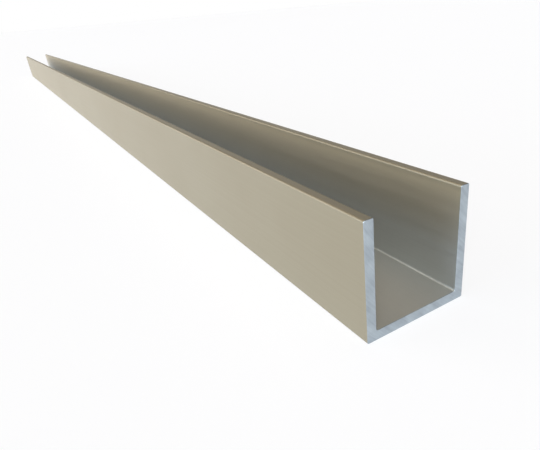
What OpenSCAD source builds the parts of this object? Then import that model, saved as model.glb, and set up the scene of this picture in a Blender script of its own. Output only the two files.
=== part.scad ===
// Square U-shaped channel, an aluminium extrusion sold as bar stock and sawn to length.
// The web lies on Z = 0 with the slot open upwards. The bar runs along X, centred on the origin.

/* [Section] */
// Width outside, over the two flanges
section_w = 35; // [12:0.5:60]
// Height outside, from the underside of the web to the flange toes
section_h = 35; // [12:0.5:60]
// Thickness of the web
web_t = 3; // [2:0.1:5]
// Thickness of each flange
flange_t = 3; // [2:0.1:5]

/* [Edges] */
// Radius on the outside corners and on both sides of each toe
arris_r = 0.5; // [0.1:0.1:0.9]
// Radius of the fillet where each flange meets the web inside the slot
root_r = 0.5; // [0.2:0.1:2.5]

/* [Stock] */
// Length between the sawn ends
stock_l = 1000; // [100:10:4000]

/* [Hidden] */
$fn = 48;

// Clear width between the flanges
slot_w = section_w - 2 * flange_t;
// Champagne tone of the satin anodised skin
skin_colour = [0.68, 0.64, 0.56];

// A flat bar's section with its four arrises rounded, standing on Y = 0 and centred on X = 0.
module bar_section(w, h) {
    translate([-w / 2 + arris_r, 0]) square([w - 2 * arris_r, h]);
    translate([-w / 2, arris_r]) square([w, h - 2 * arris_r]);
    for (x = [-1, 1] * (w / 2 - arris_r), y = [arris_r, h - arris_r])
        translate([x, y]) circle(r = arris_r);
}

// The concave fillet in the inside corner on the +X side: a square less the round that touches both walls.
module root_fillet() {
    translate([slot_w / 2 - root_r, web_t]) difference() {
        square(root_r);
        translate([0, root_r]) circle(r = root_r);
    }
}

// One side of the U: the flange on the +X side with its root fillet.
module flange_section() {
    translate([section_w / 2 - flange_t / 2, 0]) bar_section(flange_t, section_h);
    root_fillet();
}

// The whole U, as the die gives it.
module channel_section() {
    bar_section(section_w, web_t);
    flange_section();
    mirror([1, 0]) flange_section();
}

// The bar: the section stood up and drawn out along X, with plain square-sawn ends.
module channel() {
    color(skin_colour)
        translate([-stock_l / 2, 0, 0])
            rotate([90, 0, 90])
                linear_extrude(height = stock_l) channel_section();
}

channel();
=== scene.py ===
import math
import bmesh
import bpy
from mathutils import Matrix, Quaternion, Vector


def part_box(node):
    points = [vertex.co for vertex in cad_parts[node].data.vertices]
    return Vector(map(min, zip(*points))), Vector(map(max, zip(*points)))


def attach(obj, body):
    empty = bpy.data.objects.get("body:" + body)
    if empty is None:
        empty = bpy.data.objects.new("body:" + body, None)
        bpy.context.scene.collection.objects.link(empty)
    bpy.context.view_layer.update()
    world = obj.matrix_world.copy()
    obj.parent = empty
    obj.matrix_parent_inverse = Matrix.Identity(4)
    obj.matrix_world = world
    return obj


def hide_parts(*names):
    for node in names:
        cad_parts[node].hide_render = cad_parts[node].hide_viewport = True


# A length of square U-shaped aluminium channel, lying on its web on a pale studio floor

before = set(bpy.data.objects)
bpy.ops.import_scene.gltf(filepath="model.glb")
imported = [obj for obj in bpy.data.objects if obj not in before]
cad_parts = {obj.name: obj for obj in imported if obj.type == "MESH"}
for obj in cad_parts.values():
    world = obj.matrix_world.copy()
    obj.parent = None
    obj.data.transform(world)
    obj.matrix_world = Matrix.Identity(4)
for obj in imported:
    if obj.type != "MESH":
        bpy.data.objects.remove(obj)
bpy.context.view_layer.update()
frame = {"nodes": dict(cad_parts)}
mm = 0.001
noiseLow, noiseHigh = 0.3, 0.7   # most values of a noise texture lie between these two
print("frame loaded:", ", ".join(frame["nodes"]))


# From sRGB hex to linear, by the sRGB curve
def linearColour(hexColour):
    shares = [int(hexColour[place:place + 2], 16) / 255 for place in (1, 3, 5)]
    linear = [share / 12.92 if share <= 0.04045 else ((share + 0.055) / 1.055) ** 2.4 for share in shares]
    return (*linear, 1.0)


# Gives a material or the world an empty node tree
def emptyTree(owner):
    owner.use_nodes = True
    owner.node_tree.nodes.clear()
    return owner.node_tree


# Adds one node with its settings, and gives back the output of that name or else the first one in use.
# An input goes by its name or its place, and takes a value or the socket that feeds it.
def addNode(tree, kind, settings=None, inputs=None, output=None):
    node = tree.nodes.new(kind)
    for name, value in (settings or {}).items():
        setattr(node, name, value)
    for name, value in (inputs or {}).items():
        numbered = enumerate(node.inputs)
        socket = next(entry for place, entry in numbered if entry.enabled and name in (place, entry.name))
        if isinstance(value, bpy.types.NodeSocket):
            tree.links.new(value, socket)
        else:
            socket.default_value = value
    return next((entry for entry in node.outputs if entry.enabled and output in (None, entry.name)), None)


# Turns a finished shape into an object in the scene
def addMesh(name, shape, materials):
    mesh = bpy.data.meshes.new(name)
    shape.to_mesh(mesh)
    shape.free()
    for material in materials:
        mesh.materials.append(material)
    piece = bpy.data.objects.new(name, mesh)
    bpy.context.collection.objects.link(piece)
    return piece


# Puts a lamp or a camera into the scene, aimed along a direction
def addAimed(name, data, direction, roll=0.0):
    holder = bpy.data.objects.new(name, data)
    holder.rotation_mode = "QUATERNION"
    holder.rotation_quaternion = direction.to_track_quat("-Z", "Y") @ Quaternion((0, 0, 1), roll)
    bpy.context.collection.objects.link(holder)
    return holder


# Anodised aluminium, drawn through a die, etched matt and anodised to a champagne tone.
# It gives the eye a silky sheen without clear reflections, faint lines along the bar
# and a tone that drifts a little.
anodisedFinish = {
    "tone": "#A9A390",
    "deepTone": "#A29A85",
    "driftSize": 45 * mm,        # patches over which the skin drifts between these two tones
    # Painted light in the slot: the colour pales below the toes, where light falls in over the near flange,
    # and turns a lighter grey lower down for the cool light in the slot's shade
    "paintedSlotLight": [("#B9B19B", 2 * mm), ("#C0C3C2", 20 * mm)],   # each with the depth at which it is reached
    "roughness": 0.58,
    "roughnessSpread": 0.03,
    "dieLineWidth": 0.7 * mm,    # real die lines are about 0.1 mm, drawn coarser so that they show
    "dieLineLength": 180 * mm,
    "dieLineDepth": 0.003 * mm,
    "dieLineDetail": 3.0,
    "etchGrain": 0.35 * mm,      # real etch pits are about 0.02 mm, drawn coarser so that they show
    "etchDepth": 0.003 * mm,
    "etchDetail": 1.0,
    "filmShare": 0.4,            # the clear oxide film over the metal
    "filmRoughness": 0.45,
    "filmIndex": 1.65,
}


def addSkinToneAndPaintedSlotLight(tree, place, finish, slotSide, slotFloor, toe):
    drift = addNode(tree, "ShaderNodeTexNoise", inputs={"Vector": place, "Scale": 1 / finish["driftSize"]})
    tone = addNode(tree, "ShaderNodeMix", {"data_type": "RGBA"}, {
        "Factor": drift, "A": linearColour(finish["deepTone"]), "B": linearColour(finish["tone"])})

    # Painted light inside the slot, from the toes down
    across = addNode(tree, "ShaderNodeSeparateXYZ", inputs={"Vector": place}, output="Y")
    height = across.node.outputs["Z"]
    fromMiddle = addNode(tree, "ShaderNodeMath", {"operation": "ABSOLUTE"}, {0: across})
    betweenFlanges = addNode(tree, "ShaderNodeMath", {"operation": "LESS_THAN"}, {
        0: fromMiddle, 1: slotSide})
    aboveWeb = addNode(tree, "ShaderNodeMath", {"operation": "GREATER_THAN"}, {0: height, 1: slotFloor})
    paintedLightMask = addNode(tree, "ShaderNodeMath", {"operation": "MULTIPLY"}, {0: betweenFlanges, 1: aboveWeb})
    depthBefore = 0
    # Each step paints light into the slot: first the paler band below the toes, then the lighter cool grey
    for paintedTone, depth in finish["paintedSlotLight"]:
        paintedLightFade = addNode(tree, "ShaderNodeMapRange", inputs={
            "Value": height,
            "From Min": toe - depthBefore,
            "From Max": toe - depth,
            "To Max": paintedLightMask})
        tone = addNode(tree, "ShaderNodeMix", {"data_type": "RGBA"}, {
            "Factor": paintedLightFade, "A": tone, "B": linearColour(paintedTone)})
        depthBefore = depth
    return tone


def makeAnodisedAluminium(finish, slotSide, slotFloor, toe):
    material = bpy.data.materials.new("anodised_aluminium_satin_etched")
    tree = emptyTree(material)
    place = addNode(tree, "ShaderNodeTexCoord", output="Object")
    tone = addSkinToneAndPaintedSlotLight(tree, place, finish, slotSide, slotFloor, toe)
    alongBar = addNode(tree, "ShaderNodeMapping", inputs={
        "Vector": place, "Scale": (finish["dieLineWidth"] / finish["dieLineLength"], 1.0, 1.0)})
    dieLines = addNode(tree, "ShaderNodeTexNoise", inputs={
        "Vector": alongBar, "Scale": 1 / finish["dieLineWidth"], "Detail": finish["dieLineDetail"]})
    etch = addNode(tree, "ShaderNodeTexNoise", inputs={
        "Vector": place, "Scale": 1 / finish["etchGrain"], "Detail": finish["etchDetail"]})
    roughness = addNode(tree, "ShaderNodeMapRange", inputs={
        "Value": dieLines,
        "From Min": noiseLow,
        "From Max": noiseHigh,
        "To Min": finish["roughness"] - finish["roughnessSpread"],
        "To Max": finish["roughness"] + finish["roughnessSpread"]})
    lineBump = addNode(tree, "ShaderNodeBump", inputs={
        "Distance": finish["dieLineDepth"], "Height": dieLines})
    etchBump = addNode(tree, "ShaderNodeBump", inputs={
        "Distance": finish["etchDepth"], "Height": etch, "Normal": lineBump})
    metal = addNode(tree, "ShaderNodeBsdfPrincipled", inputs={
        "Base Color": tone,
        "Metallic": 1.0,
        "Roughness": roughness,
        "Normal": etchBump,
        "Coat Weight": finish["filmShare"],
        "Coat Roughness": finish["filmRoughness"],
        "Coat IOR": finish["filmIndex"]})
    addNode(tree, "ShaderNodeOutputMaterial", inputs={"Surface": metal})
    return material


# Bare aluminium, cut by a circular saw and left as it was.
# It gives the eye a bright grey, streaked in wide arcs where the teeth went through,
# with a soft cloud over it. Its cool cast is painted light, standing in for bluish light falling on the
# cut.
sawnFinish = {
    # The blue in both tones is painted light for the cool light on the cut; the grey beneath is the metal's
    # own
    "tone": "#B6C1C9",
    "dullTone": "#9DA7B0",
    "toneRange": (0.7, 1.3),           # from dull to bright, the sum of the marks' and the cloud's noise
    "cloudSize": 5 * mm,
    "roughness": 0.38,
    "roughnessSpread": 0.06,
    "bladeAxle": (90 * mm, 94 * mm),   # across from the middle of the bar, and above the floor
    "toothMarkWidth": 0.6 * mm,        # real marks are about 0.1 mm wide, drawn coarser so that they show
    "toothMarkLength": 9 * mm,
    "toothMarkDepth": 0.013 * mm,
}


# The marks are a noise that is drawn out round the blade's axle
def addToothMarks(tree, place, finish):
    axleAcross, axleAbove = finish["bladeAxle"]
    fromAxle = addNode(tree, "ShaderNodeMapping", inputs={
        "Vector": place, "Location": (0.0, -axleAcross, -axleAbove), "Scale": (0.0, 1.0, 1.0)})
    across = addNode(tree, "ShaderNodeSeparateXYZ", inputs={"Vector": fromAxle}, output="Y")
    above = across.node.outputs["Z"]
    reach = addNode(tree, "ShaderNodeVectorMath", {"operation": "LENGTH"}, {0: fromAxle})
    turn = addNode(tree, "ShaderNodeMath", {"operation": "ARCTAN2"}, {0: above, 1: across})
    drawnOut = math.hypot(axleAcross, axleAbove) * finish["toothMarkWidth"] / finish["toothMarkLength"]
    roundAxle = addNode(tree, "ShaderNodeMath", {"operation": "MULTIPLY"}, {0: turn, 1: drawnOut})
    sweep = addNode(tree, "ShaderNodeCombineXYZ", inputs={"X": reach, "Y": roundAxle})
    return addNode(tree, "ShaderNodeTexNoise", inputs={
        "Vector": sweep, "Scale": 1 / finish["toothMarkWidth"]})


def makeSawnAluminium(finish):
    material = bpy.data.materials.new("bare_aluminium_sawn")
    tree = emptyTree(material)
    place = addNode(tree, "ShaderNodeTexCoord", output="Object")
    toothMarks = addToothMarks(tree, place, finish)
    cloud = addNode(tree, "ShaderNodeTexNoise", inputs={"Vector": place, "Scale": 1 / finish["cloudSize"]})
    both = addNode(tree, "ShaderNodeMath", {"operation": "ADD"}, {0: toothMarks, 1: cloud})
    dull, bright = finish["toneRange"]
    brightness = addNode(tree, "ShaderNodeMapRange", inputs={
        "Value": both, "From Min": dull, "From Max": bright})
    tone = addNode(tree, "ShaderNodeMix", {"data_type": "RGBA"}, {
        "Factor": brightness, "A": linearColour(finish["dullTone"]), "B": linearColour(finish["tone"])})
    roughness = addNode(tree, "ShaderNodeMapRange", inputs={
        "Value": toothMarks,
        "From Min": noiseLow,
        "From Max": noiseHigh,
        "To Min": finish["roughness"] - finish["roughnessSpread"],
        "To Max": finish["roughness"] + finish["roughnessSpread"]})
    markBump = addNode(tree, "ShaderNodeBump", inputs={
        "Distance": finish["toothMarkDepth"], "Height": toothMarks})
    metal = addNode(tree, "ShaderNodeBsdfPrincipled", inputs={
        "Base Color": tone, "Metallic": 1.0, "Roughness": roughness, "Normal": markBump})
    addNode(tree, "ShaderNodeOutputMaterial", inputs={"Surface": metal})
    return material


# The bar: its outside sizes come from the frame
channelBar = {
    "web": 3 * mm,
    "flange": 3 * mm,
    "arrisRadius": 0.5 * mm,
    "rootRadius": 0.5 * mm,
    "sawnEdgeBreak": 0.15 * mm,   # the burr is wiped off the sawn edges
    "arcSteps": 8,
    "breakSteps": 2,
}


def roundOff(shape, parts, affect, radius, steps):
    bmesh.ops.bevel(
        shape, geom=parts, affect=affect, offset=radius, offset_type="OFFSET", segments=steps,
        profile=0.5, material=-1)


def makeChannelBar(sizes, skin, sawn):
    low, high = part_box("channel")
    side = high.y
    slotSide = side - sizes["flange"]
    toe = high.z
    shape = bmesh.new()
    roots = [shape.verts.new((low.x, y, sizes["web"])) for y in (slotSide, -slotSide)]
    nearToe = [shape.verts.new((low.x, y, toe)) for y in (-slotSide, -side)]
    underside = [shape.verts.new((low.x, y, low.z)) for y in (-side, side)]
    farToe = [shape.verts.new((low.x, y, toe)) for y in (side, slotSide)]
    arrises = nearToe + underside + farToe
    shape.faces.new(roots + arrises)

    # Round the section's corners, then draw it out along the bar
    roundOff(shape, arrises, "VERTICES", sizes["arrisRadius"], sizes["arcSteps"])
    roundOff(shape, roots, "VERTICES", sizes["rootRadius"], sizes["arcSteps"])
    drawn = bmesh.ops.extrude_face_region(shape, geom=shape.faces[:])["geom"]
    drawnCorners = [part for part in drawn if isinstance(part, bmesh.types.BMVert)]
    bmesh.ops.translate(shape, vec=(high.x - low.x, 0, 0), verts=drawnCorners)
    bmesh.ops.recalc_face_normals(shape, faces=shape.faces)

    # Wipe the burr off the rims of the two sawn ends
    rims = [edge for edge in shape.edges if edge.verts[0].co.x == edge.verts[1].co.x]
    roundOff(shape, rims, "EDGES", sizes["sawnEdgeBreak"], sizes["breakSteps"])

    # The rims belong to the sawn ends. The arcs are shaded smooth, and the flats stay flat
    materials = [skin, sawn]
    flatLimit = 0.9999   # a flat's normal lies along an axis
    for face in shape.faces:
        onEnd = abs(face.calc_center_median().x) > high.x - sizes["sawnEdgeBreak"]
        face.material_index = materials.index(sawn if onEnd else skin)
        face.smooth = max(abs(share) for share in face.normal) < flatLimit

    bar = addMesh("channel_bar", shape, materials)
    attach(bar, "root")
    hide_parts("channel")
    return bar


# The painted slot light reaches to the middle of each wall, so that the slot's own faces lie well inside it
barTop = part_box("channel")[1]
skin = makeAnodisedAluminium(
    anodisedFinish,
    slotSide=barTop.y - channelBar["flange"] / 2,
    slotFloor=channelBar["web"] / 2,
    toe=barTop.z)
sawn = makeSawnAluminium(sawnFinish)
print("finishes made:", skin.name, "and", sawn.name)
bar = makeChannelBar(channelBar, skin, sawn)
print("channel bar made:", len(bar.data.polygons), "faces")


# Studio floor: a matt pale board
studioFloor = {
    "colour": "#EDF0FA",
    "reach": 60.0,
    "glow": 0.7,   # share of plain white in what the camera and the metal see of it
}


def makeFloor(setup):
    material = bpy.data.materials.new("studio_board_matt")
    tree = emptyTree(material)
    board = addNode(tree, "ShaderNodeBsdfDiffuse", inputs={"Color": linearColour(setup["colour"])})
    white = addNode(tree, "ShaderNodeEmission")
    toCamera = addNode(tree, "ShaderNodeLightPath", output="Is Camera Ray")
    toMetal = toCamera.node.outputs["Is Glossy Ray"]
    toGlass = toCamera.node.outputs["Is Transmission Ray"]
    toEither = addNode(tree, "ShaderNodeMath", {"operation": "MAXIMUM"}, {0: toCamera, 1: toMetal})
    seen = addNode(tree, "ShaderNodeMath", {"operation": "MAXIMUM"}, {0: toEither, 1: toGlass})
    glow = addNode(tree, "ShaderNodeMath", {"operation": "MULTIPLY"}, {0: seen, 1: setup["glow"]})
    look = addNode(tree, "ShaderNodeMixShader", inputs={0: glow, 1: board, 2: white})
    addNode(tree, "ShaderNodeOutputMaterial", inputs={"Surface": look})
    shape = bmesh.new()
    bmesh.ops.create_grid(shape, x_segments=1, y_segments=1, size=setup["reach"])
    floor = addMesh("studio_floor", shape, [material])


# Studio light: a sky that is white round the horizon and dark above, and four broad lamps
studioLight = {
    "horizon": 1.0,      # 1 is white
    "sky": 0.08,
    "fadeStarts": 0.2,   # sine of the height at which the horizon's white starts to fade
    "fadeEnds": 0.4,
    "lamps": {           # the direction each lamp shines from, and its spread in degrees
        "left_lamp": {
            "from": (0.0, -0.996, 0.087), "strength": 1.32, "spread": 30, "colour": "#D0E6FF"},
        "front_lamp": {
            "from": (0.741, -0.394, 0.545), "strength": 3.41, "spread": 50, "colour": "#FBFFFA"},
        "back_lamp": {
            "from": (-0.664, -0.664, 0.342), "strength": 0.84, "spread": 45, "colour": "#FFEEDF"},
        "top_lamp": {
            "from": (0.0, 0.0, 1.0), "strength": 0.81, "spread": 60, "colour": "#FFE8D0"},
    },
}


def makeLight(setup):
    world = bpy.data.worlds.new("studio_sky")
    tree = emptyTree(world)
    direction = addNode(tree, "ShaderNodeTexCoord", output="Generated")
    height = addNode(tree, "ShaderNodeSeparateXYZ", inputs={"Vector": direction}, output="Z")
    fade = addNode(tree, "ShaderNodeMapRange", {"interpolation_type": "SMOOTHSTEP"}, {
        "Value": height,
        "From Min": setup["fadeStarts"],
        "From Max": setup["fadeEnds"],
        "To Min": setup["horizon"],
        "To Max": setup["sky"]})
    glow = addNode(tree, "ShaderNodeBackground", inputs={"Color": fade})
    addNode(tree, "ShaderNodeOutputWorld", inputs={"Surface": glow})
    bpy.context.scene.world = world

    for name, lamp in setup["lamps"].items():
        light = bpy.data.lights.new(name, "SUN")
        light.energy = lamp["strength"]
        light.angle = math.radians(lamp["spread"])
        light.color = linearColour(lamp["colour"])[:3]
        addAimed(name, light, -Vector(lamp["from"]))


makeFloor(studioFloor)
makeLight(studioLight)
print("studio made:", len(studioLight["lamps"]), "lamps")


# Camera: close to the sawn end, above the near flange, looking along the bar
viewpoint = {
    "eye": (0.5763, -0.0761, 0.0790),
    "target": (0.4427, 0.0053, 0.0),
    "roll": -4.92,
    "lens": 31.27,
    "shiftX": -0.0904,   # the frame is cut off-centre
    "shiftY": 0.0322,
    "nearest": 5 * mm,   # the floor comes closer to the eye than a new camera can see
}


def makeCamera(setup):
    camera = bpy.data.cameras.new("camera")
    camera.lens = setup["lens"]
    camera.shift_x = setup["shiftX"]
    camera.shift_y = setup["shiftY"]
    camera.clip_start = setup["nearest"]
    eye = Vector(setup["eye"])
    holder = addAimed("camera", camera, Vector(setup["target"]) - eye, math.radians(setup["roll"]))
    holder.location = eye
    bpy.context.scene.camera = holder


makeCamera(viewpoint)
bpy.context.scene.view_settings.view_transform = "Standard"
print("camera made")
